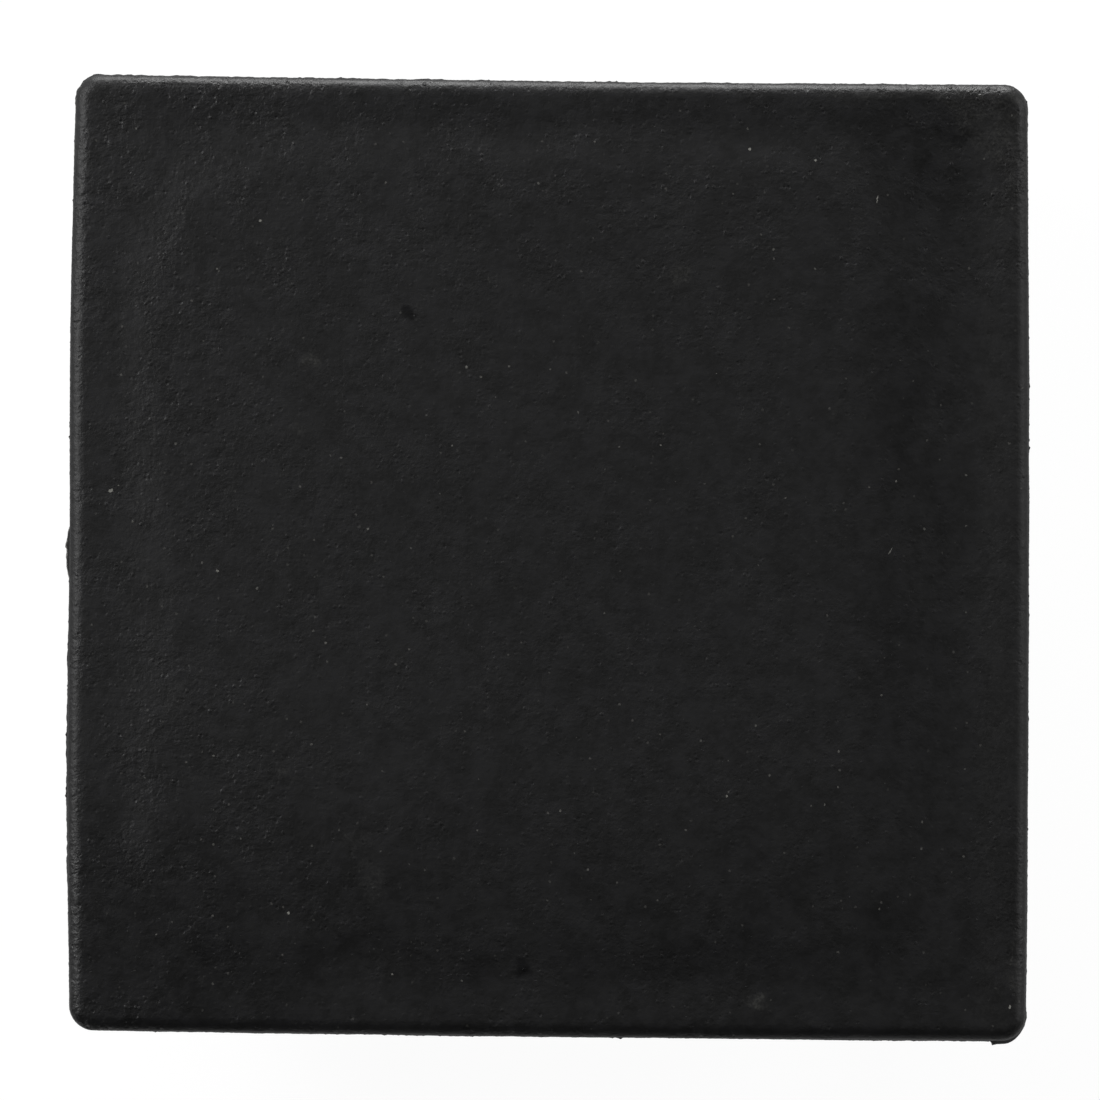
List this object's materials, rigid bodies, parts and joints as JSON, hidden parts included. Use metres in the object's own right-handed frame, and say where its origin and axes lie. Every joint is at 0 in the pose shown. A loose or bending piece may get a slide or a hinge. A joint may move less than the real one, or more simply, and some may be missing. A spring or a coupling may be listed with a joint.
{
  "type": "profile end cap",
  "caption": "Square push-in end cap for a slotted aluminium profile: a flat black head with rolled edges, a seat rim and ribbed pegs behind it.",
  "frame": {"origin": "middle of the seat plane, where the rim meets the sawn end of the profile", "axes": "+Z out of the visible face, away from the profile; the pegs point to -Z; +X and +Y are square to the sides, and the gate mark is on the -X side"},
  "size_m": [0.0402, 0.04, 0.013],
  "materials": {
    "black_polyamide": "spark-eroded matte mould grain"
  },
  "bodies": {
    "root": {"end_cap": "black_polyamide"}
  },
  "joints": []
}
